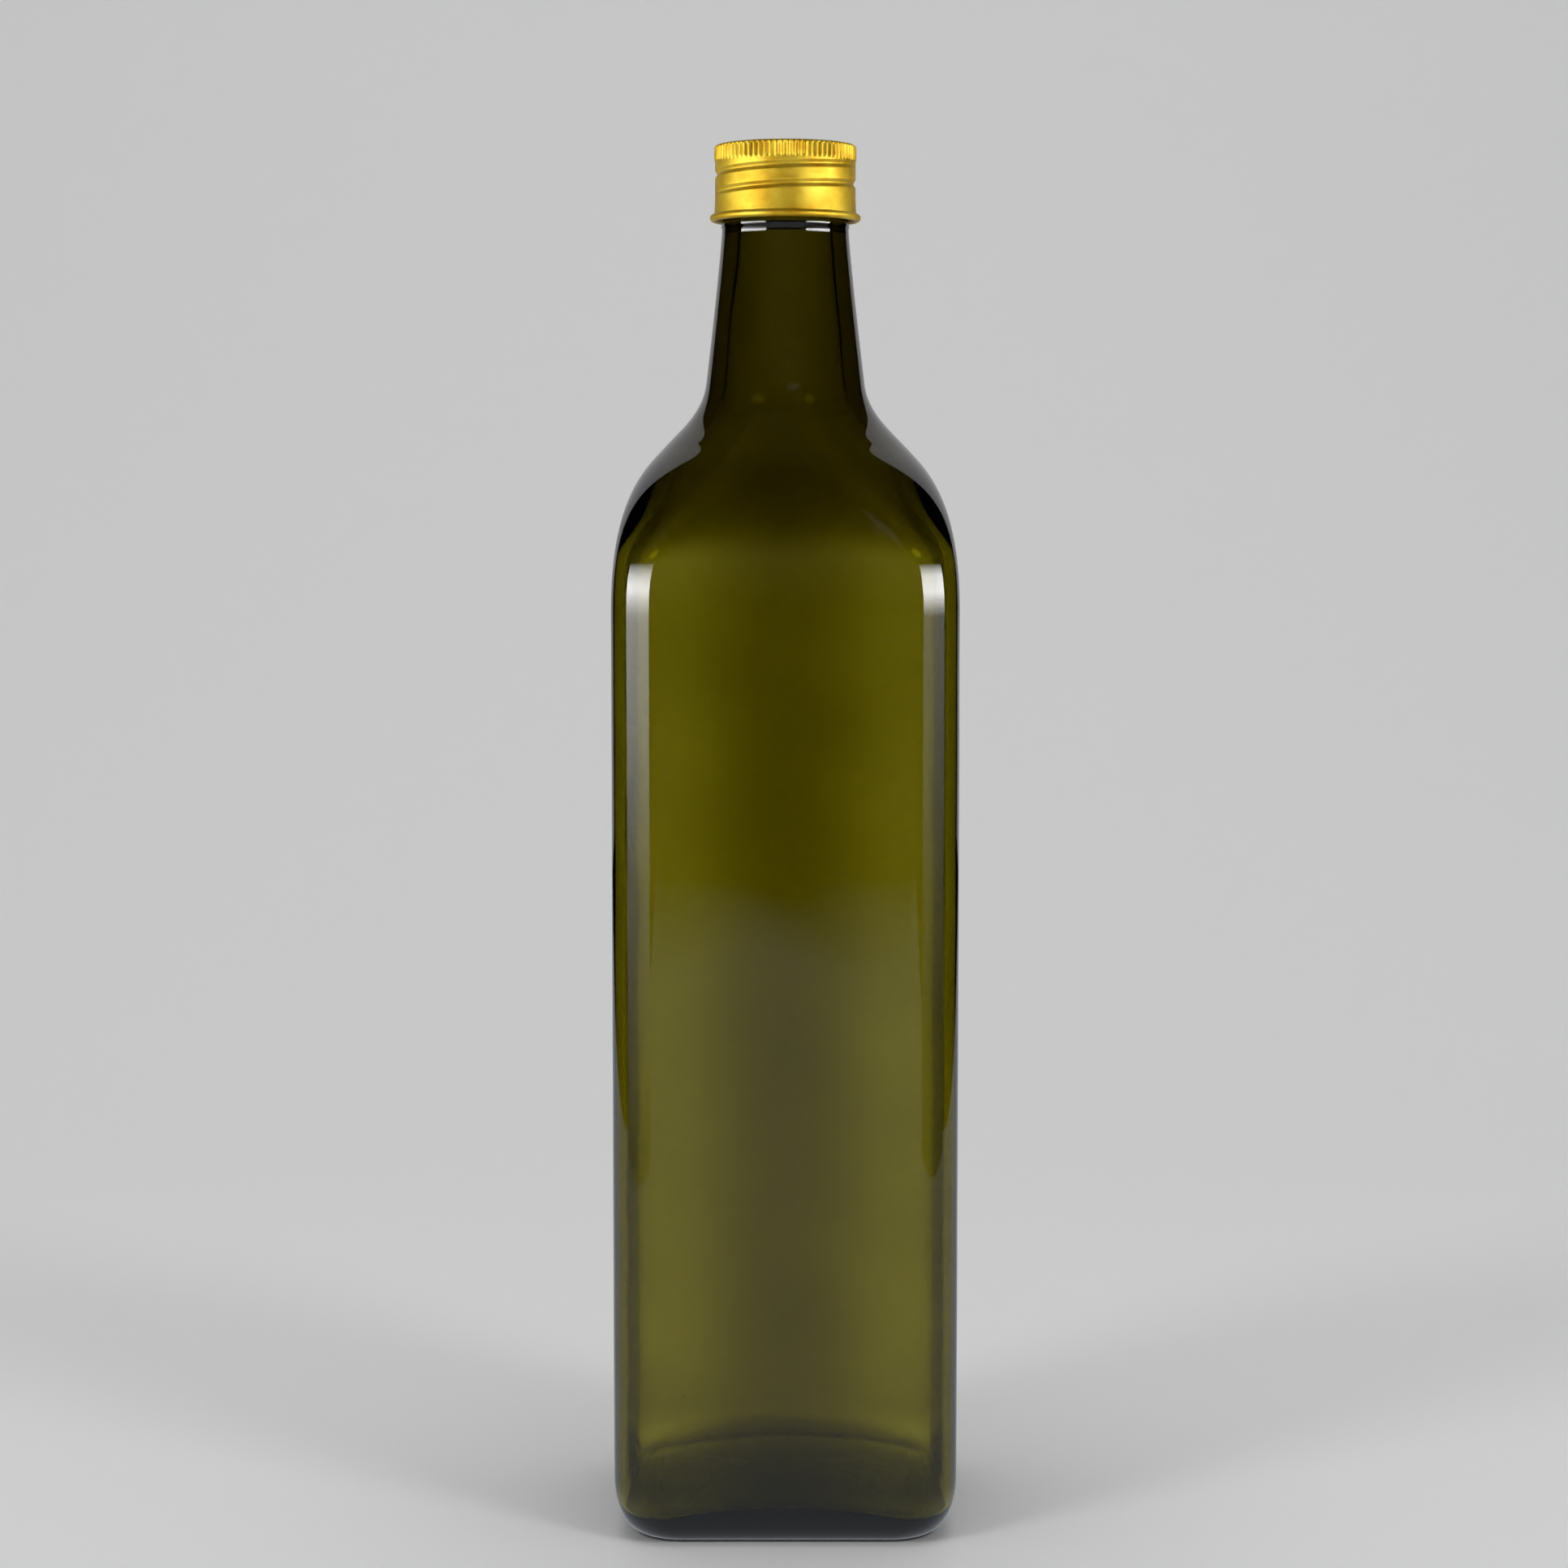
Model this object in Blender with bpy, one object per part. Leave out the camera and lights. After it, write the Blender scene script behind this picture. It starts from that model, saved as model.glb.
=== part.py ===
import math

import bmesh
import bpy

# A tall square bottle of dark olive glass, empty, with a gold screw cap.
# Lengths are in metres. Up is +Z, the front panel faces -Y, and the origin is in the middle of the foot.

MM = 0.001
TURN = 2 * math.pi

# Body of the bottle
BODY_HALF = 37.8 * MM
CORNER_RADIUS = 12.0 * MM
WALL_AT_CORNERS = 2.3 * MM
PANEL_SWELL = 1.0 * MM  # the glass is thicker by this in the middle of each panel
INNER_CORNER_RADIUS = 8.4 * MM

# Foot: a rounded heel, a flat ring to stand on and a push-up inside it
HEEL_INSET = 7.0 * MM
HEEL_HEIGHT = 13.0 * MM
FOOT_RING = 3.6 * MM
PUSH_UP = 5.0 * MM
FLOOR_TOP = 10.4 * MM
FLOOR_FALL = 0.0036 / MM  # how much the inner floor drops from the middle, per square of the reach
FLOOR_FILLET = 5.0 * MM

# Shoulder: a swelling arc up to the steepest place, then a hollow one into the neck
SHOULDER_BOTTOM = 203.0 * MM
SHOULDER_SWELL = 26.5 * MM
STEEPEST_HALF = 26.3 * MM
STEEPEST_HEIGHT = 240.0 * MM
STEEPEST_ANGLE = math.radians(41.6)
STEEPEST_REACH_DOWN = 7.0 * MM
STEEPEST_REACH_UP = 4.7 * MM
NECK_BOTTOM = 253.7 * MM
NECK_REACH = 6.4 * MM
ROUND_FROM = 246.0 * MM  # above this the bottle is round
SHOULDER_WALL = 3.6 * MM

# Neck and mouth
NECK_BOTTOM_RADIUS = 17.65 * MM
NECK_TOP = 287.6 * MM
NECK_TOP_RADIUS = 14.05 * MM
NECK_BEND = 1.15
COLLAR_RADIUS = 14.35 * MM
COLLAR_HEIGHT = 3.0 * MM
MOUTH_TOP = 305.0 * MM
MOUTH_RADIUS = 13.9 * MM
BORE_RADIUS = 10.3 * MM
NECK_WALL = 3.3 * MM
LIP_ROUND = 0.8 * MM

# Cap
CAP_TOP = 306.0 * MM
CAP_RADIUS = 15.75 * MM
CAP_EDGE_ROUND = 0.8 * MM
CAP_SHELL = 0.6 * MM
CAP_TOP_SHELL = 0.65 * MM
RIB_COUNT = 76
RIB_DEPTH = 0.35 * MM
RIB_TOP = 305.1 * MM
RIB_BOTTOM = 302.7 * MM
THREAD_PITCH = 4.2 * MM
THREAD_DEPTH = 0.5 * MM
THREAD_WIDTH = 1.0 * MM
THREAD_START = 295.4 * MM
THREAD_TURNS = 1.5
THREAD_ZONE_TOP = 302.3 * MM
THREAD_ZONE_BOTTOM = 294.6 * MM
THREAD_FADE = 0.12  # of a turn at each end of the groove
BEAD_RADIUS = 0.85 * MM
BEAD_REACH = 16.75 * MM
CAP_BOTTOM = 289.2 * MM

# Steps of the faceted surfaces
FLAT_STEPS = 2
ARC_STEPS = 10
SHOULDER_STEPS = 10
HOLLOW_STEPS = 6
NECK_STEPS = 5
HEEL_STEPS = 6
FLOOR_STEPS = 4
THREAD_STEPS = 12


def clear_scene():
    for obj in list(bpy.data.objects):
        bpy.data.objects.remove(obj, do_unlink=True)


def smooth_step(value):
    value = min(max(value, 0.0), 1.0)
    return value * value * (3 - 2 * value)


def bezier(start, pull_start, pull_end, end, t):
    """One point of a cubic curve in the plane of (half width, height)."""
    s = 1 - t
    shares = (s**3, 3 * s * s * t, 3 * s * t * t, t**3)
    places = (start, pull_start, pull_end, end)
    return tuple(sum(k * p[i] for k, p in zip(shares, places)) for i in (0, 1))


# A ring is (half width, corner radius, height, swell): a rounded square seen from above.


def corner_radius_at(half, height, body_half, body_corner):
    """The corners grow round from the shoulder's bottom until the section is a circle."""
    share = (height - SHOULDER_BOTTOM) / (ROUND_FROM - SHOULDER_BOTTOM)
    plain = body_corner / body_half
    return half * (plain + (1 - plain) * smooth_step(share))


def ring_points(half, corner, height, swell=0.0):
    """Points round a rounded square, crowded on its corners where those are sharp."""
    flat = half - corner
    evenness = smooth_step((corner / half - 0.35) / 0.65) if half > 0 else 1.0
    quarter = 2 * FLAT_STEPS + ARC_STEPS
    points = []
    for side in range(4):
        for step in range(quarter):
            if step < FLAT_STEPS:
                x, y = half, flat * step / FLAT_STEPS
            elif step <= FLAT_STEPS + ARC_STEPS:
                angle = 0.5 * math.pi * (step - FLAT_STEPS) / ARC_STEPS
                x = flat + corner * math.cos(angle)
                y = flat + corner * math.sin(angle)
            else:
                x, y = flat * (quarter - step) / FLAT_STEPS, half
            crowded = math.atan2(y, x)
            even = 0.5 * math.pi * step / quarter
            angle = crowded + (even - crowded) * evenness
            reach = reach_of_square(half, corner, angle)
            x, y = reach * math.cos(angle), reach * math.sin(angle)
            if swell and flat > 0:
                along = min(x, y)
                inward = swell * 0.5 * (1 + math.cos(math.pi * min(along / flat, 1.0)))
                x, y = (x - inward, y) if x > y else (x, y - inward)
            turn = 0.5 * math.pi * side
            c, s = math.cos(turn), math.sin(turn)
            points.append((x * c - y * s, x * s + y * c, height))
    return points


def reach_of_square(half, corner, angle):
    """How far the outline of a rounded square lies from its middle in one direction."""
    c, s = abs(math.cos(angle)), abs(math.sin(angle))
    c, s = max(c, s), min(c, s)
    flat = half - corner
    if half * s / c <= flat:
        return half / c
    across = flat * (c + s)
    return across + math.sqrt(max(across * across - 2 * flat * flat + corner * corner, 0.0))


def shoulder_outline():
    """(half width, height) of the outside from the shoulder's bottom to the neck's."""
    lean = (-math.sin(STEEPEST_ANGLE), math.cos(STEEPEST_ANGLE))
    steepest = (STEEPEST_HALF, STEEPEST_HEIGHT)
    neck_slope = (NECK_BOTTOM_RADIUS - NECK_TOP_RADIUS) / (NECK_TOP - NECK_BOTTOM)
    low = (BODY_HALF, SHOULDER_BOTTOM)
    low_pull = (BODY_HALF, SHOULDER_BOTTOM + SHOULDER_SWELL)
    down_pull = tuple(p - STEEPEST_REACH_DOWN * d for p, d in zip(steepest, lean))
    up_pull = tuple(p + STEEPEST_REACH_UP * d for p, d in zip(steepest, lean))
    high = (NECK_BOTTOM_RADIUS, NECK_BOTTOM)
    high_pull = (NECK_BOTTOM_RADIUS + NECK_REACH * neck_slope, NECK_BOTTOM - NECK_REACH)
    outline = []
    for step in range(SHOULDER_STEPS):
        t = step / SHOULDER_STEPS
        outline.append(bezier(low, low_pull, down_pull, steepest, t))
    for step in range(HOLLOW_STEPS):
        t = step / HOLLOW_STEPS
        outline.append(bezier(steepest, up_pull, high_pull, high, t))
    return outline


def neck_radius(height):
    """The neck narrows upward, a little more quickly at its foot."""
    share = (NECK_TOP - height) / (NECK_TOP - NECK_BOTTOM)
    growth = NECK_BOTTOM_RADIUS - NECK_TOP_RADIUS
    return NECK_TOP_RADIUS + growth * max(share, 0.0) ** NECK_BEND


def floor_height(x, y):
    """The inner floor is a low dome, highest in the middle and lowest in the corners."""
    return FLOOR_TOP - FLOOR_FALL * (x * x + y * y)


def outside_rings():
    """The outside from the foot ring up to the lip."""
    rings = []
    for step in range(HEEL_STEPS + 1):
        angle = 0.5 * math.pi * step / HEEL_STEPS
        inset = HEEL_INSET * (1 - math.sin(angle))
        height = HEEL_HEIGHT * (1 - math.cos(angle))
        rings.append((BODY_HALF - inset, CORNER_RADIUS - 0.5 * inset, height))
    for half, height in shoulder_outline():
        rings.append((half, corner_radius_at(half, height, BODY_HALF, CORNER_RADIUS), height))
    for step in range(NECK_STEPS + 1):
        height = NECK_BOTTOM + (NECK_TOP - NECK_BOTTOM) * step / NECK_STEPS
        rings.append((neck_radius(height), neck_radius(height), height))
    collar_edge = COLLAR_RADIUS - NECK_TOP_RADIUS
    rings.append((COLLAR_RADIUS, COLLAR_RADIUS, NECK_TOP + collar_edge))
    rings.append((COLLAR_RADIUS, COLLAR_RADIUS, NECK_TOP + COLLAR_HEIGHT))
    rings.append((MOUTH_RADIUS, MOUTH_RADIUS, NECK_TOP + COLLAR_HEIGHT + collar_edge))
    rings.append((MOUTH_RADIUS, MOUTH_RADIUS, MOUTH_TOP - LIP_ROUND))
    rings.append((MOUTH_RADIUS - LIP_ROUND, MOUTH_RADIUS - LIP_ROUND, MOUTH_TOP))
    return [ring_points(*ring) for ring in rings]


def inside_rings():
    """The inside from the lip down to the end of the straight walls."""
    inner_half = BODY_HALF - WALL_AT_CORNERS
    rings = [
        (BORE_RADIUS + LIP_ROUND, BORE_RADIUS + LIP_ROUND, MOUTH_TOP),
        (BORE_RADIUS, BORE_RADIUS, MOUTH_TOP - LIP_ROUND),
    ]
    for step in range(NECK_STEPS + 1):
        share = step / NECK_STEPS
        height = NECK_TOP - (NECK_TOP - NECK_BOTTOM) * share
        wall = NECK_TOP_RADIUS - BORE_RADIUS
        wall += (NECK_WALL - wall) * share
        radius = neck_radius(height) - wall
        rings.append((radius, radius, height))
    for half, height in reversed(shoulder_outline()):
        rise = (height - SHOULDER_BOTTOM) / (NECK_BOTTOM - SHOULDER_BOTTOM)
        wall = WALL_AT_CORNERS + (SHOULDER_WALL - WALL_AT_CORNERS) * smooth_step(2 * rise)
        inner = half - wall
        corner = corner_radius_at(inner, height, inner_half, INNER_CORNER_RADIUS)
        rings.append((inner, corner, height, PANEL_SWELL * (1 - smooth_step(2 * rise))))
    low = FLOOR_TOP + FLOOR_FILLET
    rings.append((inner_half, INNER_CORNER_RADIUS, low, PANEL_SWELL))
    return [ring_points(*ring) for ring in rings]


def floor_rings():
    """The curve from the walls into the floor, and the domed floor to near its middle."""
    inner_half = BODY_HALF - WALL_AT_CORNERS
    fillet_steps = HEEL_STEPS - 1
    rings = []
    for step in range(fillet_steps + 1):
        angle = 0.5 * math.pi * step / fillet_steps
        inset = FLOOR_FILLET * (1 - math.cos(angle))
        lift = FLOOR_FILLET * (1 - math.sin(angle))
        swell = PANEL_SWELL * math.cos(angle)
        plan = ring_points(inner_half - inset, INNER_CORNER_RADIUS, 0.0, swell)
        rings.append([(x, y, floor_height(x, y) + lift) for x, y, _ in plan])
    edge = inner_half - FLOOR_FILLET
    for step in range(1, FLOOR_STEPS):
        half = edge * (1 - step / FLOOR_STEPS)
        share = INNER_CORNER_RADIUS / edge
        corner = half * (share + (1 - share) * step / FLOOR_STEPS)
        plan = ring_points(half, corner, 0.0)
        rings.append([(x, y, floor_height(x, y)) for x, y, _ in plan])
    return rings


def underside_rings():
    """The push-up from near its middle out to the inner edge of the foot ring."""
    edge = BODY_HALF - HEEL_INSET - FOOT_RING
    edge_corner = CORNER_RADIUS - 0.5 * HEEL_INSET - 0.5 * FOOT_RING
    rings = []
    for step in range(1, FLOOR_STEPS + 1):
        share = step / FLOOR_STEPS
        half = edge * share
        corner = half * (1 - (1 - edge_corner / edge) * share)
        rings.append(ring_points(half, corner, PUSH_UP * (1 - share * share)))
    return rings


def round_ring(radius, height, count, depth=0.0):
    """A round ring. With a depth, every other point is drawn in by it, as on a ribbed edge."""
    points = []
    for index in range(count):
        angle = TURN * index / count
        reach = radius - depth * (index % 2)
        points.append((reach * math.cos(angle), reach * math.sin(angle), height))
    return points


def groove_depth(angle, height):
    """Depth of the rolled thread at a place: one helical groove that rises to the right."""
    deepest = 0.0
    for extra in range(-1, 3):
        turns = (angle - math.pi) / TURN + extra
        if not 0 <= turns <= THREAD_TURNS:
            continue
        distance = (height - THREAD_START - THREAD_PITCH * turns) / THREAD_WIDTH
        fade = smooth_step(turns / THREAD_FADE) * smooth_step((THREAD_TURNS - turns) / THREAD_FADE)
        if abs(distance) < 1:
            deepest = max(deepest, fade * 0.5 * (1 + math.cos(math.pi * distance)))
    return THREAD_DEPTH * deepest


def threaded_ring(radius, height, count):
    points = []
    for index in range(count):
        angle = TURN * index / count
        reach = radius - groove_depth(angle, height)
        points.append((reach * math.cos(angle), reach * math.sin(angle), height))
    return points


def cap_rings():
    """Rings of the cap's surface, from its top down the outside and up the inside."""
    count = RIB_COUNT
    edge = CAP_RADIUS - CAP_EDGE_ROUND
    slant = CAP_EDGE_ROUND * (1 - math.sin(0.25 * math.pi))
    rings = [
        round_ring(0.5 * CAP_RADIUS, CAP_TOP, count // 4),
        round_ring(edge, CAP_TOP, count),
        round_ring(CAP_RADIUS - slant - RIB_DEPTH, CAP_TOP - slant, count),
        round_ring(CAP_RADIUS, RIB_TOP, 2 * count, RIB_DEPTH),
        round_ring(CAP_RADIUS, RIB_BOTTOM, 2 * count, RIB_DEPTH),
    ]
    zone = THREAD_ZONE_TOP - THREAD_ZONE_BOTTOM
    for step in range(THREAD_STEPS + 1):
        height = THREAD_ZONE_TOP - zone * step / THREAD_STEPS
        rings.append(threaded_ring(CAP_RADIUS - 0.5 * RIB_DEPTH, height, count))
    middle = BEAD_REACH - BEAD_RADIUS
    bead_height = CAP_BOTTOM + BEAD_RADIUS
    rings.append(round_ring(CAP_RADIUS, bead_height + BEAD_RADIUS, count))
    for degrees in (60, 20, -20, -60, -100, -140):
        angle = math.radians(degrees)
        reach = middle + BEAD_RADIUS * math.cos(angle)
        height = bead_height + BEAD_RADIUS * math.sin(angle)
        rings.append(round_ring(reach, height, count))
    inner = CAP_RADIUS - CAP_SHELL - 0.5 * RIB_DEPTH
    rings.append(round_ring(inner, THREAD_ZONE_BOTTOM, count))
    inner_steps = THREAD_STEPS // 2
    for step in range(1, inner_steps + 1):
        height = THREAD_ZONE_BOTTOM + zone * step / inner_steps
        rings.append(threaded_ring(inner, height, count))
    rings.append(round_ring(inner, CAP_TOP - CAP_TOP_SHELL, count))
    rings.append(round_ring(0.5 * inner, CAP_TOP - CAP_TOP_SHELL, count // 4))
    return rings


def join_rings(mesh, first, second):
    """Faces between two rings whose counts are equal, or one a whole multiple of the other."""
    if len(first) < len(second):
        first, second = second, first
    many = len(first) // len(second)
    total = len(first)
    for index, vert in enumerate(second):
        following = second[(index + 1) % len(second)]
        fan = [first[(index * many + k) % total] for k in range(many + 1)]
        if many == 1:
            mesh.faces.new((vert, following, fan[1], fan[0]))
            continue
        turn_at = many // 2
        for k in range(many):
            tip = vert if k < turn_at else following
            mesh.faces.new((tip, fan[k + 1], fan[k]))
        mesh.faces.new((vert, following, fan[turn_at]))


def close_ring(mesh, ring, height):
    """A fan from a ring to a point on the axis."""
    middle = mesh.verts.new((0.0, 0.0, height))
    for index, vert in enumerate(ring):
        mesh.faces.new((middle, vert, ring[(index + 1) % len(ring)]))


def solid_of_rings(name, rings, first_height, last_height, material):
    """One closed body from rings of points, with its first and last rings closed on the axis."""
    mesh = bmesh.new()
    loops = [[mesh.verts.new(point) for point in ring] for ring in rings]
    close_ring(mesh, loops[0], first_height)
    for first, second in zip(loops, loops[1:]):
        join_rings(mesh, first, second)
    close_ring(mesh, loops[-1], last_height)
    bmesh.ops.recalc_face_normals(mesh, faces=mesh.faces)
    data = bpy.data.meshes.new(name)
    mesh.to_mesh(data)
    mesh.free()
    data.materials.append(material)
    data.shade_smooth()
    data.set_sharp_from_angle(angle=math.radians(40))
    obj = bpy.data.objects.new(name, data)
    bpy.context.scene.collection.objects.link(obj)
    return obj


def surface_material(name, colour, roughness, metallic=0.0, clear=0.0):
    material = bpy.data.materials.new(name)
    material.use_nodes = True
    shader = material.node_tree.nodes["Principled BSDF"]
    shader.inputs["Base Color"].default_value = (*colour, 1.0)
    shader.inputs["Roughness"].default_value = roughness
    shader.inputs["Metallic"].default_value = metallic
    shader.inputs["Transmission Weight"].default_value = clear
    return material


def make_bottle():
    glass = surface_material("olive_glass", (0.10, 0.09, 0.005), 0.04, clear=1.0)
    rings = underside_rings() + outside_rings() + inside_rings() + floor_rings()
    return solid_of_rings("bottle", rings, PUSH_UP, FLOOR_TOP, glass)


def make_cap():
    gold = surface_material("gold_aluminium", (0.85, 0.55, 0.06), 0.3, metallic=1.0)
    return solid_of_rings("cap", cap_rings(), CAP_TOP, CAP_TOP - CAP_TOP_SHELL, gold)


clear_scene()
make_bottle()
make_cap()
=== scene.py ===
import math

import bpy
import numpy as np
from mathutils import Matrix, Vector


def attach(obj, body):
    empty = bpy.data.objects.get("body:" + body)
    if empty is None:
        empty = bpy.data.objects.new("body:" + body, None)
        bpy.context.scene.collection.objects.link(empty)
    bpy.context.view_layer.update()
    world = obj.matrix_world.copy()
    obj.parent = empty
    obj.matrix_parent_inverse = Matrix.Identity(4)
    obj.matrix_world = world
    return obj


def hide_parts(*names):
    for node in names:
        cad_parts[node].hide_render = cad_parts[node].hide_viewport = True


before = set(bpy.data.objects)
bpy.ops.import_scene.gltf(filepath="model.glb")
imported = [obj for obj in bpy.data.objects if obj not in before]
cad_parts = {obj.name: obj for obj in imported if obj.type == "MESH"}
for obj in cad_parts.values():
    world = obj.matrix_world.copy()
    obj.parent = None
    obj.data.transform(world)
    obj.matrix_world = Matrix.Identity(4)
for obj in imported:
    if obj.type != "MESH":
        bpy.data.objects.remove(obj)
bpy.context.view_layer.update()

mm = 0.001
turn = 2 * math.pi

# The blown glass. Sizes in mm, up is +Z, the front panel faces -Y.
bottle = {
    "bodyHalf": 37.8, "cornerRadius": 12.0, "wallAtCorners": 2.3, "panelSwell": 1.0, "innerCorner": 9.4,
    "heelInset": 7.0, "heelHeight": 13.0, "footRing": 3.6, "pushUp": 5.0,
    "floorTop": 10.4, "floorFall": 0.0036, "floorFillet": 5.0,
    "shoulderBottom": 203.0, "shoulderSwell": 26.5, "steepHalf": 26.3, "steepHeight": 240.0,
    "steepAngle": 41.6, "steepDown": 7.0, "steepUp": 4.7, "neckBottom": 253.7, "neckReach": 6.4,
    "roundStart": 203.0, "roundSlowly": 1.9, "roundFrom": 246.0,
    "shoulderWall": 5.8, "thickFrom": 214.0, "thickTo": 236.0,
    "neckBottomRadius": 17.65, "neckTop": 287.6, "neckTopRadius": 14.05, "neckBend": 1.15, "neckWall": 4.3,
    "collarRadius": 14.2, "collarRound": 2.4, "mouthTop": 305.0, "mouthRadius": 13.4, "boreRadius": 10.0,
    "lipRound": 0.8,
    "flatSteps": 10, "arcSteps": 30,  # points on half a panel and on a corner
    "heelSteps": 24, "neckRings": 24, "collarSteps": 10, "collarUpright": (0.15, 0.9), "collarArc": 60,
    "waveOutside": 0.02, "waveInside": 0.10,  # how far the skins stray from true, as blown glass does
    "waveCount": 14, "waveGain": 2.5, "waveSeeds": (3, 8), "calmHeel": 14, "calmFade": 20, "calmNeck": 25,
}


def smoothStep(value):
    value = np.clip(value, 0.0, 1.0)
    return value * value * (3 - 2 * value)


def bezier(start, pullStart, pullEnd, end, t):
    s = 1 - t
    shares = (s**3, 3 * s * s * t, 3 * s * t * t, t**3)
    return tuple(sum(k * p[i] for k, p in zip(shares, (start, pullStart, pullEnd, end))) for i in (0, 1))


def reachOfSquare(half, corner, angle):  # from the axis out to a rounded square, at an angle
    c, s = np.abs(np.cos(angle)), np.abs(np.sin(angle))
    c, s = np.maximum(c, s), np.minimum(c, s)
    flat = half - corner
    across = flat * (c + s)
    onCorner = across + np.sqrt(np.maximum(across * across - 2 * flat * flat + corner * corner, 0))
    return np.where(half * s <= flat * c, half / c, onCorner)


def squareRing(half, corner, height, swell=0.0):  # points round a rounded square, crowded on the corners
    flat = half - corner
    flatSteps, arcSteps = bottle["flatSteps"], bottle["arcSteps"]
    quarter = 2 * flatSteps + arcSteps
    step = np.arange(quarter)
    arc = 0.5 * math.pi * np.clip((step - flatSteps) / arcSteps, 0, 1)
    x = flat + corner * np.cos(arc)
    y = flat + corner * np.sin(arc)
    x = np.where(step > flatSteps + arcSteps, flat * (quarter - step) / flatSteps, x)
    y = np.where(step < flatSteps, flat * step / flatSteps, y)
    crowded = np.arctan2(y, x)
    even = 0.5 * math.pi * step / quarter
    # a round ring has even points, a square one has most on its corners
    angle = crowded + (even - crowded) * smoothStep((corner / half - 0.35) / 0.65)
    reach = reachOfSquare(half, corner, angle)
    x, y = reach * np.cos(angle), reach * np.sin(angle)
    if swell and flat > 0:
        inward = swell * 0.5 * (1 + np.cos(math.pi * np.minimum(np.minimum(x, y) / flat, 1)))
        x, y = np.where(x > y, x - inward, x), np.where(x > y, y, y - inward)
    sides = [(x * c - y * s, x * s + y * c) for c, s in ((1, 0), (0, 1), (-1, 0), (0, -1))]
    xs, ys = (np.concatenate([side[i] for side in sides]) for i in (0, 1))
    return np.stack([xs, ys, np.full(len(xs), float(height))], axis=1)


def cornerAt(half, height, bodyHalf, bodyCorner):  # corners grow round up the shoulder
    b = bottle
    plain = bodyCorner / bodyHalf
    share = (height - b["roundStart"]) / (b["roundFrom"] - b["roundStart"])
    return half * (plain + (1 - plain) * float(smoothStep(share)) ** b["roundSlowly"])


def shoulderOutline(lowSteps=44, highSteps=24):
    b = bottle
    lean = (-math.sin(math.radians(b["steepAngle"])), math.cos(math.radians(b["steepAngle"])))
    steep = (b["steepHalf"], b["steepHeight"])
    slope = (b["neckBottomRadius"] - b["neckTopRadius"]) / (b["neckTop"] - b["neckBottom"])
    low = (b["bodyHalf"], b["shoulderBottom"])
    lowPull = (b["bodyHalf"], b["shoulderBottom"] + b["shoulderSwell"])
    downPull = tuple(p - b["steepDown"] * d for p, d in zip(steep, lean))
    upPull = tuple(p + b["steepUp"] * d for p, d in zip(steep, lean))
    high = (b["neckBottomRadius"], b["neckBottom"])
    highPull = (b["neckBottomRadius"] + b["neckReach"] * slope, b["neckBottom"] - b["neckReach"])
    outline = [bezier(low, lowPull, downPull, steep, k / lowSteps) for k in range(lowSteps)]
    outline += [bezier(steep, upPull, highPull, high, k / highSteps) for k in range(highSteps)]
    return outline


def neckRadius(height):
    b = bottle
    share = max((b["neckTop"] - height) / (b["neckTop"] - b["neckBottom"]), 0.0)
    return b["neckTopRadius"] + (b["neckBottomRadius"] - b["neckTopRadius"]) * share ** b["neckBend"]


def floorHeight(x, y):
    return bottle["floorTop"] - bottle["floorFall"] * (x * x + y * y)


def straightRows(low, high, step=4.0):  # heights between two rings, so that the glass can stray a little
    count = int(round((high - low) / step))
    return [low + (high - low) * k / count for k in range(1, count)]


def underside(steps=24):
    b = bottle
    edge = b["bodyHalf"] - b["heelInset"] - b["footRing"]
    edgeCorner = b["cornerRadius"] - 0.5 * b["heelInset"] - 0.5 * b["footRing"]
    rings = []
    for k in range(1, steps + 1):
        share = k / steps
        half = edge * share
        corner = half * (1 - (1 - edgeCorner / edge) * share)
        rings.append(squareRing(half, corner, b["pushUp"] * (1 - share * share)))
    return rings


def outside():
    b = bottle
    rings = []
    for k in range(b["heelSteps"] + 1):
        angle = 0.5 * math.pi * k / b["heelSteps"]
        inset = b["heelInset"] * (1 - math.sin(angle))
        rings.append(squareRing(b["bodyHalf"] - inset, b["cornerRadius"] - 0.5 * inset,
                                b["heelHeight"] * (1 - math.cos(angle))))
    for height in straightRows(b["heelHeight"], b["shoulderBottom"]):
        rings.append(squareRing(b["bodyHalf"], b["cornerRadius"], height))
    for half, height in shoulderOutline():
        rings.append(squareRing(half, cornerAt(half, height, b["bodyHalf"], b["cornerRadius"]), height))
    for k in range(b["neckRings"]):
        height = b["neckBottom"] + (b["neckTop"] - b["neckBottom"]) * k / (b["neckRings"] - 1)
        rings.append(squareRing(neckRadius(height), neckRadius(height), height))
    # the shoulder of the mouth: upright for a moment, then round and in under the cap
    collar, bend = b["collarRadius"], b["collarRound"]
    uprightFrom, uprightTo = b["collarUpright"]
    rings.append(squareRing(collar, collar, b["neckTop"] + uprightFrom))
    for k in range(b["collarSteps"]):
        angle = math.radians(b["collarArc"]) * k / (b["collarSteps"] - 1)
        radius = collar - bend * (1 - math.cos(angle))
        rings.append(squareRing(radius, radius, b["neckTop"] + uprightTo + bend * math.sin(angle)))
    mouth = min(b["mouthRadius"], radius)
    rings.append(squareRing(mouth, mouth, b["mouthTop"] - b["lipRound"]))
    rings.append(squareRing(mouth - b["lipRound"], mouth - b["lipRound"], b["mouthTop"]))
    return rings


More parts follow.
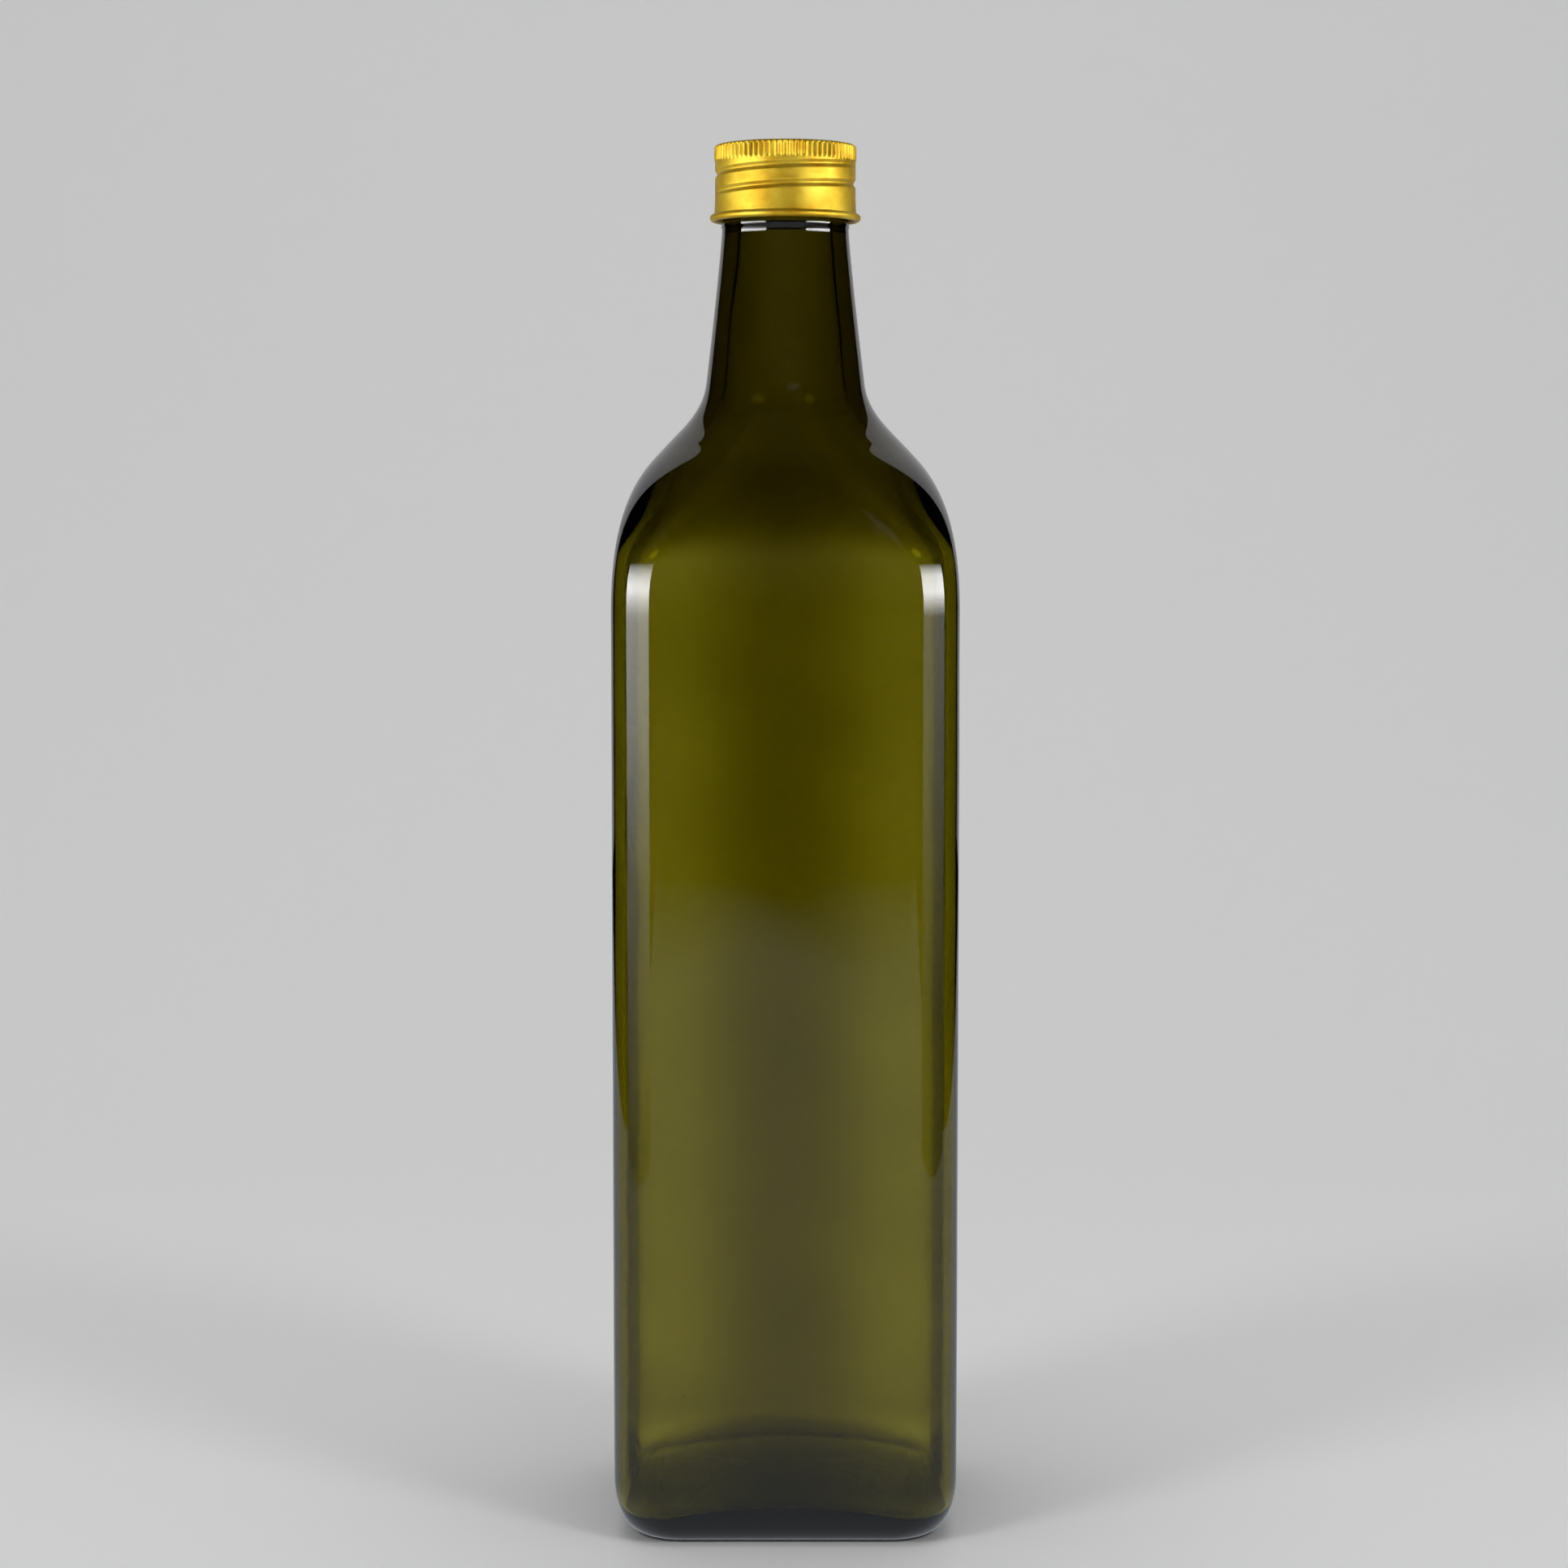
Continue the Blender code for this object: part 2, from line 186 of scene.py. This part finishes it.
def inside():
    b = bottle
    innerHalf = b["bodyHalf"] - b["wallAtCorners"]
    bore = b["boreRadius"]
    rings = [squareRing(bore + b["lipRound"], bore + b["lipRound"], b["mouthTop"]),
             squareRing(bore, bore, b["mouthTop"] - b["lipRound"])]
    for k in range(b["neckRings"]):
        share = k / (b["neckRings"] - 1)
        height = b["neckTop"] - (b["neckTop"] - b["neckBottom"]) * share
        wall = b["neckTopRadius"] - bore
        radius = neckRadius(height) - wall - (b["neckWall"] - wall) * share
        rings.append(squareRing(radius, radius, height))
    for half, height in reversed(shoulderOutline()):
        blend = float(smoothStep((height - b["thickFrom"]) / (b["thickTo"] - b["thickFrom"])))
        thinner = float(smoothStep((height - b["steepHeight"]) / (b["neckBottom"] - b["steepHeight"])))
        wall = b["shoulderWall"] + (b["neckWall"] - b["shoulderWall"]) * thinner
        inner = half - b["wallAtCorners"] - (wall - b["wallAtCorners"]) * blend
        corner = cornerAt(inner, height, innerHalf, b["innerCorner"])
        rings.append(squareRing(inner, corner, height, b["panelSwell"] * (1 - blend)))
    low = b["floorTop"] + b["floorFillet"]
    for height in reversed([low] + straightRows(low, b["shoulderBottom"])):
        rings.append(squareRing(innerHalf, b["innerCorner"], height, b["panelSwell"]))
    return rings


def innerFloor(filletSteps=16, steps=24):
    b = bottle
    innerHalf = b["bodyHalf"] - b["wallAtCorners"]
    rings = []
    for k in range(filletSteps + 1):
        angle = 0.5 * math.pi * k / filletSteps
        plan = squareRing(innerHalf - b["floorFillet"] * (1 - math.cos(angle)), b["innerCorner"], 0,
                          b["panelSwell"] * math.cos(angle))
        plan[:, 2] = floorHeight(plan[:, 0], plan[:, 1]) + b["floorFillet"] * (1 - math.sin(angle))
        rings.append(plan)
    edge = innerHalf - b["floorFillet"]
    plain = b["innerCorner"] / edge
    for k in range(1, steps):
        half = edge * (1 - k / steps)
        plan = squareRing(half, half * (plain + (1 - plain) * k / steps), 0)
        plan[:, 2] = floorHeight(plan[:, 0], plan[:, 1])
        rings.append(plan)
    return rings


def stray(rings, size, seed):  # slow waves, longer up the wall than round it, as the parison leaves them
    b = bottle
    draw = np.random.default_rng(seed)
    waves = [(draw.uniform(2, 9), draw.uniform(18, 70), draw.uniform(0, turn), draw.uniform(0.3, 1.0))
             for _ in range(b["waveCount"])]
    total = sum(share for *_, share in waves)
    for points in rings:
        x, y, z = points.T
        around = np.arctan2(y, x)
        wave = sum(a * np.sin(round(n) * around + turn * z / length + phase) for n, length, phase, a in waves)
        # none of it at the heel and the mouth, which the mould forms true
        fade = smoothStep((z - b["calmHeel"]) / b["calmFade"])
        fade *= smoothStep((b["neckTop"] - z) / b["calmNeck"])
        reach = np.hypot(x, y)
        scale = 1 + size * wave / total * b["waveGain"] * fade / np.maximum(reach, 1)
        points[:, 0] *= scale
        points[:, 1] *= scale
    return rings


def meshOfRings(name, rings, firstMiddle, lastMiddle):  # one closed skin, its two ends closed on the axis
    count = len(rings[0])
    points = np.concatenate([np.concatenate(rings), [[0, 0, firstMiddle], [0, 0, lastMiddle]]]) * mm
    first = np.arange(count)
    second = np.roll(first, -1)
    faces = []
    for k in range(len(rings) - 1):
        low, high = k * count, (k + 1) * count
        faces += np.stack([low + first, low + second, high + second, high + first], axis=1).tolist()
    last = (len(rings) - 1) * count
    startPoint, endPoint = len(points) - 2, len(points) - 1
    faces += [(startPoint, int(b), int(a)) for a, b in zip(first, second)]
    faces += [(endPoint, last + int(a), last + int(b)) for a, b in zip(first, second)]
    data = bpy.data.meshes.new(name)
    data.from_pydata(points.tolist(), [], faces)
    data.validate()
    data.shade_smooth()
    piece = bpy.data.objects.new(name, data)
    bpy.context.scene.collection.objects.link(piece)
    return piece


def linear(colour):  # "#rrggbb" to linear red, green and blue
    parts = [int(colour[i:i + 2], 16) / 255 for i in (1, 3, 5)]
    return [p / 12.92 if p <= 0.04045 else ((p + 0.055) / 1.055) ** 2.4 for p in parts]


def addNode(tree, kind, links=None, **settings):  # From_Min in settings is the socket "From Min"
    node = tree.nodes.new("ShaderNode" + kind)
    for key, value in settings.items():
        if hasattr(node, key):
            setattr(node, key, value)
        else:
            node.inputs[key.replace("_", " ")].default_value = value
    for socket, source in (links or {}).items():
        tree.links.new(source, node.inputs[socket])
    return node


def newMaterial(name):
    material = bpy.data.materials.new(name)
    material.use_nodes = True
    material.node_tree.nodes.clear()
    return material, material.node_tree


# Dark olive soda-lime glass, blown: clear and glossy, it takes nearly all blue from what is behind it.
# Faint handling smears, slow waves and a few seeds keep its reflections from looking drawn with a ruler.
# Sizes in metres.
oliveGlass = {
    "ior": 1.52, "absorb": (352.0, 382.0, 1150.0),  # per metre for red, green and blue
    "headroom": 1.02,  # keeps the strongest absorption just short of black
    "cleanRoughness": 0.0, "smearRoughness": 0.09, "smearSize": 0.045, "smearRange": (0.56, 0.78),
    "waveSize": 0.018, "waveHeight": 0.00004, "waveStretch": 0.35,
    "seedSpacing": 0.020, "seedRadius": 0.00045, "seedHeight": 0.00015,
}


def makeOliveGlass():
    g = oliveGlass
    material, tree = newMaterial("blownOliveGlass")
    density = max(g["absorb"]) * g["headroom"]
    colour = [1 - a / density for a in g["absorb"]]
    place = addNode(tree, "TexCoord").outputs["Object"]

    smears = addNode(tree, "TexNoise", {"Vector": place}, Scale=1 / g["smearSize"], Detail=5, Roughness=0.65)
    rough = addNode(tree, "MapRange", {"Value": smears.outputs[0]},
                    From_Min=g["smearRange"][0], From_Max=g["smearRange"][1],
                    To_Min=g["cleanRoughness"], To_Max=g["smearRoughness"])

    longUp = addNode(tree, "Mapping", {"Vector": place}, Scale=(1, 1, g["waveStretch"]))
    waves = addNode(tree, "TexNoise", {"Vector": longUp.outputs[0]}, Scale=1 / g["waveSize"], Detail=1)
    waveBump = addNode(tree, "Bump", {"Height": waves.outputs[0]}, Distance=g["waveHeight"])
    seeds = addNode(tree, "TexVoronoi", {"Vector": place}, Scale=1 / g["seedSpacing"])
    seed = addNode(tree, "MapRange", {"Value": seeds.outputs["Distance"]}, interpolation_type="SMOOTHSTEP",
                   From_Min=0, From_Max=g["seedRadius"] / g["seedSpacing"], To_Min=1, To_Max=0)
    seedBump = addNode(tree, "Bump", {"Height": seed.outputs[0], "Normal": waveBump.outputs[0]},
                       Distance=g["seedHeight"])

    shader = addNode(tree, "BsdfPrincipled", {"Roughness": rough.outputs[0], "Normal": seedBump.outputs[0]},
                     IOR=g["ior"], Base_Color=(1, 1, 1, 1), Transmission_Weight=1)
    inside = addNode(tree, "VolumeAbsorption", Color=(*colour, 1), Density=density)
    addNode(tree, "OutputMaterial", {"Surface": shader.outputs[0], "Volume": inside.outputs[0]})
    return material


def makeBottle():
    outerSeed, innerSeed = bottle["waveSeeds"]
    rings = underside() + stray(outside(), bottle["waveOutside"], outerSeed)
    rings += stray(inside(), bottle["waveInside"], innerSeed) + innerFloor()
    piece = meshOfRings("bottleGlass", rings, bottle["pushUp"], bottle["floorTop"])
    piece.data.materials.append(makeOliveGlass())
    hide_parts("bottle")
    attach(piece, "root")
    print("bottle glass", len(piece.data.polygons), "faces")


# The rolled cap, in mm
cap = {
    "top": 306.0, "radius": 15.75, "edgeRound": 0.8, "shell": 0.6, "topShell": 0.65, "bottom": 289.2,
    "ribCount": 76, "ribDepth": 0.38, "ribTop": 305.1, "ribBottom": 302.7, "ribPoints": 8,
    "ribSharpness": 0.7, "ribUneven": 0.25,
    "pitch": 4.2, "grooveDepth": 0.5, "grooveWidth": 1.0, "grooveStart": 295.4, "grooveTurns": 1.5,
    "grooveFade": 0.12, "threadTop": 302.3, "threadBottom": 294.6, "waistIn": 0.15,
    "beadRadius": 0.85, "beadReach": 16.75, "rowHeight": 0.16,
    "topRings": 12, "edgeSteps": 8, "skirtRows": 7, "innerRows": 12, "sharpAngle": 50,
}

# Satin aluminium under a gold lacquer, rolled: soft wide reflections with a warm yellow cast, fine lines
# round it from the lathe, and deeper gold where the lacquer has gathered. Sizes in metres.
goldLacquer = {
    "thin": "#dabc3a", "thick": "#c09614", "roughness": (0.48, 0.60),
    "coat": 0.12, "coatRoughness": 0.3,
    "metallic": 0.85,  # the lacquer scatters a little, as paint does
    "lineHeight": 0.00045,  # real lines are ten times finer and would not show
    "lineSquash": 0.04, "lineDepth": 0.00003, "lineStrength": 0.25,
    "blotchSize": 0.006,
}


def makeGoldLacquer():
    g = goldLacquer
    material, tree = newMaterial("goldLacqueredAluminium")
    place = addNode(tree, "TexCoord").outputs["Object"]
    flat = addNode(tree, "Mapping", {"Vector": place}, Scale=(g["lineSquash"], g["lineSquash"], 1))
    lines = addNode(tree, "TexNoise", {"Vector": flat.outputs[0]}, Scale=1 / g["lineHeight"], Detail=3)
    rough = addNode(tree, "MapRange", {"Value": lines.outputs[0]}, From_Min=0.3, From_Max=0.7,
                    To_Min=g["roughness"][0], To_Max=g["roughness"][1])
    blotches = addNode(tree, "TexNoise", {"Vector": place}, Scale=1 / g["blotchSize"], Detail=4)
    tint = addNode(tree, "ValToRGB", {"Fac": blotches.outputs[0]})
    for mark, position, colour in zip(tint.color_ramp.elements, (0.35, 0.65), (g["thick"], g["thin"])):
        mark.position = position
        mark.color = (*linear(colour), 1)
    bump = addNode(tree, "Bump", {"Height": lines.outputs[0]}, Strength=g["lineStrength"],
                   Distance=g["lineDepth"])
    shader = addNode(tree, "BsdfPrincipled", {"Base Color": tint.outputs[0], "Roughness": rough.outputs[0],
                                              "Normal": bump.outputs[0]},
                     Metallic=g["metallic"], Coat_Weight=g["coat"], Coat_Roughness=g["coatRoughness"])
    addNode(tree, "OutputMaterial", {"Surface": shader.outputs[0]})
    return material


def grooveDepth(angle, height):  # one helical groove that rises to the right
    c = cap
    deepest = np.zeros_like(angle)
    for extra in range(-1, 3):
        turns = (angle - math.pi) / turn + extra
        distance = (height - c["grooveStart"] - c["pitch"] * turns) / c["grooveWidth"]
        fade = smoothStep(turns / c["grooveFade"]) * smoothStep((c["grooveTurns"] - turns) / c["grooveFade"])
        groove = np.where(np.abs(distance) < 1, 0.5 * (1 + np.cos(math.pi * distance)), 0)
        deepest = np.maximum(deepest, fade * groove)
    return c["grooveDepth"] * deepest


def capRing(radius, height, ribs=0.0, grooves=False):
    c = cap
    points = c["ribCount"] * c["ribPoints"]
    angle = turn * np.arange(points) / points
    reach = np.full(points, float(radius))
    if ribs:
        rib = 0.5 * (1 - np.cos(c["ribCount"] * angle))
        uneven = 1 + c["ribUneven"] * np.sin(7 * angle + 1) * np.sin(19 * angle)
        reach -= ribs * (1 - rib ** c["ribSharpness"]) * uneven
    if grooves:
        reach -= grooveDepth(angle, height)
    return np.stack([reach * np.cos(angle), reach * np.sin(angle), np.full(points, float(height))], axis=1)


def rowsBetween(high, low, count):
    return [high - (high - low) * k / count for k in range(count + 1)]


def capTop():
    c = cap
    rings = [capRing(c["radius"] * k / c["topRings"], c["top"]) for k in range(1, c["topRings"])]
    edge = c["radius"] - c["edgeRound"]
    for k in range(c["edgeSteps"] + 1):
        angle = 0.5 * math.pi * k / c["edgeSteps"]
        ribs = c["ribDepth"] * float(smoothStep((k - 3) / 5))  # the ribs run out on the rounded edge
        rings.append(capRing(edge + c["edgeRound"] * math.sin(angle),
                             c["top"] - c["edgeRound"] * (1 - math.cos(angle)), ribs))
    return rings


def capSkirt(waist):
    c = cap
    rows = int((c["ribTop"] - c["ribBottom"]) / c["rowHeight"])
    rings = [capRing(c["radius"], z, c["ribDepth"]) for z in rowsBetween(c["ribTop"], c["ribBottom"], rows)]
    rows = int((c["threadTop"] - c["threadBottom"]) / c["rowHeight"])
    rings += [capRing(waist, z, grooves=True) for z in rowsBetween(c["threadTop"], c["threadBottom"], rows)]

    # the plain skirt, out to the crease over the curled edge, and the curl itself
    beadHeight = c["bottom"] + c["beadRadius"]
    middle = c["beadReach"] - c["beadRadius"]
    for k in range(1, c["skirtRows"] + 1):
        height = c["threadBottom"] + (beadHeight + c["beadRadius"] - c["threadBottom"]) * k / c["skirtRows"]
        rings.append(capRing(waist + c["waistIn"] * k / c["skirtRows"], height))
    for degrees in range(75, -165, -15):
        angle = math.radians(degrees)
        rings.append(capRing(middle + c["beadRadius"] * math.cos(angle),
                             beadHeight + c["beadRadius"] * math.sin(angle)))
    return rings


def capInside(inner):
    c = cap
    rings = []
    for k in range(c["innerRows"] + 1):
        height = c["threadBottom"] + (c["threadTop"] - c["threadBottom"]) * k / c["innerRows"]
        rings.append(capRing(inner, height, grooves=True))
    ceiling = c["top"] - c["topShell"]
    return rings + [capRing(inner, ceiling), capRing(0.5 * inner, ceiling)]


def makeCap():
    c = cap
    waist = c["radius"] - c["waistIn"]
    rings = capTop() + capSkirt(waist) + capInside(waist - c["shell"])
    rings = [points[::-1] for points in rings]  # they run from the top down, so the faces are turned round
    piece = meshOfRings("capShell", rings, c["top"], c["top"] - c["topShell"])
    piece.data.set_sharp_from_angle(angle=math.radians(c["sharpAngle"]))
    piece.data.materials.append(makeGoldLacquer())
    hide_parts("cap")
    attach(piece, "root")
    print("cap", len(piece.data.polygons), "faces")


# The studio: a pale floor that sweeps up behind, soft lamps, and cards that only reflections see. Metres
# and degrees, 0 being towards the camera. A fade lists places along one axis with the strength there.
studio = {
    "floorFront": -3.0, "sweepStart": 0.40, "sweepRadius": 0.9, "sweepSteps": 24, "wallTop": 3.2,
    "halfWidth": 2.0, "floorColour": "#f2f3f2",
    "worldLight": 0.28, "worldInGloss": 0.004,
    "lamps": (  # name, place, size, watts
        ("keyLeft", (-1.1, -1.0, 1.3), 0.5, 5.6),
        ("keyRight", (1.1, -1.0, 1.3), 0.5, 5.6),
        ("topLamp", (0.0, 0.0, 2.2), 1.6, 10.5),
    ),
    "lampsAimAt": (0, 0, 0.1),
    "sideLampAway": 0.5, "leftLampSpan": (-35, -86), "rightLampSpan": (38, 86),
    "leftFade": ((0.0, 0.2), (0.05, 0.5), (0.10, 1.0), (0.19, 4.5), (0.25, 17.0), (0.29, 12.0), (0.36, 0.0)),
    "rightFade": ((0.0, 0.1), (0.05, 0.15), (0.1, 0.4), (0.19, 1.4), (0.24, 17.0), (0.3, 14.0), (0.36, 0.0)),
    "frontAway": 1.6, "frontSpan": (-40, 40), "frontFade": ((0.17, 0.0), (0.45, 0.07), (0.72, 0.0)),
    "tableTint": "#f2f8ff", "tableHalf": 0.55, "tableFade": ((-1.38, 0.0), (-1.0, 0.5), (1.4, 0.5)),
    "topCard": ((0.05, -1.15, 0.60), (0.42, -1.15, 0.60), (0.36, -1.0, 1.0), (0.08, -1.0, 1.0)),
    "topFade": ((0.60, 0.0), (0.78, 0.26), (1.0, 0.0)),
    "backHalf": 1.0, "backAway": 1.3, "backTop": 2.5, "backGloss": 0.5,
    "underFloor": -0.002,
}
white = (1, 1, 1)


def plainLight(name, colour, strength):
    material, tree = newMaterial(name)
    light = addNode(tree, "Emission", Strength=strength, Color=(*colour, 1))
    addNode(tree, "OutputMaterial", {"Surface": light.outputs[0]})
    return material


def fadingLight(name, colour, fade, axis="Z"):
    material, tree = newMaterial(name)
    low, high = fade[0][0], fade[-1][0]
    most = max(strength for _, strength in fade)
    place = addNode(tree, "NewGeometry")
    parts = addNode(tree, "SeparateXYZ", {"Vector": place.outputs["Position"]})
    level = addNode(tree, "MapRange", {"Value": parts.outputs[axis]}, From_Min=low, From_Max=high)
    ramp = addNode(tree, "ValToRGB", {"Fac": level.outputs[0]})
    marks = ramp.color_ramp.elements
    while len(marks) < len(fade):
        marks.new(0.5)
    for mark, (along, strength) in zip(marks, fade):
        mark.position = (along - low) / (high - low)
        mark.color = (strength / most,) * 3 + (1,)
    strength = addNode(tree, "Math", {0: ramp.outputs[0]}, operation="MULTIPLY")
    strength.inputs[1].default_value = most
    light = addNode(tree, "Emission", {"Strength": strength.outputs[0]}, Color=(*colour, 1))
    addNode(tree, "OutputMaterial", {"Surface": light.outputs[0]})
    return material


def card(name, corners, material):  # only glossy reflections see it
    data = bpy.data.meshes.new(name)
    data.from_pydata(corners, [], [tuple(range(len(corners)))])
    piece = bpy.data.objects.new(name, data)
    bpy.context.scene.collection.objects.link(piece)
    data.materials.append(material)
    piece.visible_camera = False
    piece.visible_diffuse = False
    piece.visible_transmission = False
    piece.visible_shadow = False


def standingCard(name, span, away, fade):
    angles = [math.radians(degrees) for degrees in span]
    (leftX, leftY), (rightX, rightY) = [(away * math.sin(a), -away * math.cos(a)) for a in angles]
    low, high = fade[0][0], fade[-1][0]
    corners = [(leftX, leftY, low), (rightX, rightY, low), (rightX, rightY, high), (leftX, leftY, high)]
    card(name, corners, fadingLight(name + "Light", white, fade))


def makeSweep():
    s = studio
    profile = [(s["floorFront"], 0.0), (s["sweepStart"], 0.0)]
    for k in range(1, s["sweepSteps"] + 1):
        angle = 0.5 * math.pi * k / s["sweepSteps"]
        profile.append((s["sweepStart"] + s["sweepRadius"] * math.sin(angle),
                        s["sweepRadius"] * (1 - math.cos(angle))))
    profile.append((profile[-1][0], s["wallTop"]))
    points = [(side * s["halfWidth"], y, z) for y, z in profile for side in (-1, 1)]
    faces = [(2 * k, 2 * k + 1, 2 * k + 3, 2 * k + 2) for k in range(len(profile) - 1)]
    data = bpy.data.meshes.new("paleSweep")
    data.from_pydata(points, [], faces)
    data.shade_smooth()
    sweep = bpy.data.objects.new("paleSweep", data)
    bpy.context.scene.collection.objects.link(sweep)
    material, tree = newMaterial("matteBoard")
    shader = addNode(tree, "BsdfPrincipled", Roughness=0.6, Base_Color=(*linear(s["floorColour"]), 1),
                     Specular_IOR_Level=0.2)
    addNode(tree, "OutputMaterial", {"Surface": shader.outputs[0]})
    data.materials.append(material)
    sweep.visible_glossy = False


def makeCards():  # what the glass and the cap reflect
    s = studio
    standingCard("leftLamp", s["leftLampSpan"], s["sideLampAway"], s["leftFade"])
    standingCard("rightLamp", s["rightLampSpan"], s["sideLampAway"], s["rightFade"])
    standingCard("frontBoard", s["frontSpan"], s["frontAway"], s["frontFade"])
    half, floor = s["tableHalf"], s["underFloor"]
    near, far = s["tableFade"][0][0], s["tableFade"][-1][0]
    corners = [(-half, near, floor), (half, near, floor), (half, far, floor), (-half, far, floor)]
    table = fadingLight("tableLight", linear(s["tableTint"]), s["tableFade"], "Y")
    card("tableInReflections", corners, table)
    card("topInReflections", s["topCard"], fadingLight("topBoardLight", white, s["topFade"]))
    half, away, top = s["backHalf"], s["backAway"], s["backTop"]
    corners = [(-half, away, floor), (half, away, floor), (half, away, top), (-half, away, top)]
    card("backInReflections", corners, plainLight("backLight", white, s["backGloss"]))


def makeLamps():  # they light the floor and the backdrop, out of the reflections
    for name, place, size, power in studio["lamps"]:
        light = bpy.data.lights.new(name, "AREA")
        light.shape = "DISK"
        light.size = size
        light.energy = power
        lamp = bpy.data.objects.new(name, light)
        lamp.location = place
        aim = Vector(studio["lampsAimAt"]) - Vector(place)
        lamp.rotation_euler = aim.to_track_quat("-Z", "Y").to_euler()
        lamp.visible_glossy = False
        bpy.context.scene.collection.objects.link(lamp)


def makeAir():  # pale to the eye and to the floor, nearly dark in reflections
    world = bpy.data.worlds.new("studioAir")
    world.use_nodes = True
    tree = world.node_tree
    tree.nodes.clear()
    path = addNode(tree, "LightPath")
    level = addNode(tree, "MapRange", {"Value": path.outputs["Is Glossy Ray"]},
                    To_Min=studio["worldLight"], To_Max=studio["worldInGloss"])
    air = addNode(tree, "Background", {"Strength": level.outputs[0]}, Color=(1, 1, 1, 1))
    addNode(tree, "OutputWorld", {"Surface": air.outputs[0]})
    bpy.context.scene.world = world


def makeStudio():
    makeSweep()
    makeCards()
    makeLamps()
    makeAir()
    print("studio done")


# Metres and degrees. The focal length is given in pixels of the square frame.
camera = {
    "focalPixels": 4230.0, "framePixels": 1932.0, "sensor": 36, "away": 0.77, "height": 0.226,
    "tilt": 4.6, "side": -0.0003, "bounces": 24,
}


def makeCamera():
    c = camera
    data = bpy.data.cameras.new("camera")
    data.sensor_width = c["sensor"]
    data.lens = c["focalPixels"] / c["framePixels"] * c["sensor"]
    view = bpy.data.objects.new("camera", data)
    view.location = (c["side"], -c["away"], c["height"])
    view.rotation_euler = (math.radians(90 - c["tilt"]), 0, 0)
    scene = bpy.context.scene
    scene.collection.objects.link(view)
    scene.camera = view
    scene.view_settings.view_transform = "Standard"
    scene.cycles.max_bounces = c["bounces"]  # enough for light to cross four skins of glass and come back
    scene.cycles.transmission_bounces = c["bounces"]
    scene.cycles.caustics_refractive = False
    scene.cycles.caustics_reflective = False
    print("camera done")


makeCamera()
makeBottle()
makeCap()
makeStudio()
